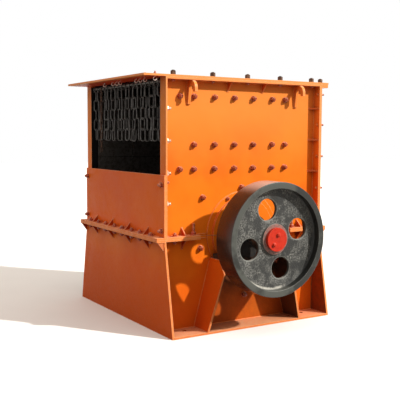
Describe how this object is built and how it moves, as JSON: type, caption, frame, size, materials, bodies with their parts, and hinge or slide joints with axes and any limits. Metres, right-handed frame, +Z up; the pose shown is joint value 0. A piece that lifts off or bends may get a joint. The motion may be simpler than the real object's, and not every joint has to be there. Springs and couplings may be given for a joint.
{
  "type": "box crusher",
  "caption": "Box crusher: bolted plate casing with a chain-curtained feed mouth, flared base, hammer rotor on outboard bearings and a cast flywheel at each end.",
  "frame": {"origin": "on the floor, midway between the four anchor holes, under the middle of the rotor shaft", "axes": "+Z up, +X along the shaft to the right-hand flywheel, -Y out of the feed mouth"},
  "size_m": [2.138, 1.63, 1.823],
  "materials": {
    "orange_paint": "satin",
    "black_paint": "rough cast, dark paint",
    "red_paint": "satin",
    "bare_steel": "worn",
    "chain_steel": "dark, worn",
    "rotor_iron": "rough"
  },
  "bodies": {
    "frame": {"base_front_plate": "orange_paint", "base_rear_plate": "orange_paint", "base_wall_left": "orange_paint", "base_wall_right": "orange_paint", "foot_plate_left": "orange_paint", "foot_plate_right": "orange_paint", "base_end_flanges": "orange_paint", "base_side_flanges": "orange_paint", "base_gussets": "orange_paint", "pedestal_left": "orange_paint", "pedestal_right": "orange_paint", "casing_end_flanges": "orange_paint", "casing_side_flanges": "orange_paint", "casing_gussets": "orange_paint", "casing_wall_left": "orange_paint", "casing_wall_right": "orange_paint", "front_flange_left": "orange_paint", "front_flange_right": "orange_paint", "rear_flange_left": "orange_paint", "rear_flange_right": "orange_paint", "rear_plate": "orange_paint", "front_plate": "orange_paint", "top_side_flanges": "orange_paint", "top_rear_flange": "orange_paint", "roof_plate": "orange_paint", "lifting_lugs_left": "orange_paint", "lifting_lugs_right": "orange_paint", "shaft_cover_left": "orange_paint", "shaft_cover_right": "orange_paint", "bearing_base_left": "black_paint", "bearing_base_right": "black_paint", "bearing_cap_left": "black_paint", "bearing_cap_right": "black_paint", "liner_plates_left": "bare_steel", "liner_plates_right": "bare_steel", "curtain_bar": "bare_steel"},
    "rotor": {"rotor_shaft": "bare_steel", "rotor_discs": "rotor_iron", "hammer_pins": "bare_steel", "hammers": "rotor_iron", "flywheel_left": "black_paint", "flywheel_right": "black_paint", "shaft_end_cap_left": "red_paint", "shaft_end_cap_right": "red_paint"},
    "chain_curtain": {"chain_strands": "chain_steel"}
  },
  "joints": [
    {"name": "rotor_spin", "type": "hinge", "parent": "frame", "child": "rotor", "pos_m": [0, 0, 0.68], "axis": [1, 0, 0], "continuous": true},
    {"name": "curtain_swing", "type": "hinge", "parent": "frame", "child": "chain_curtain", "pos_m": [0, -0.666, 1.784], "axis": [1, 0, 0], "range_deg": [-20, 60]}
  ]
}
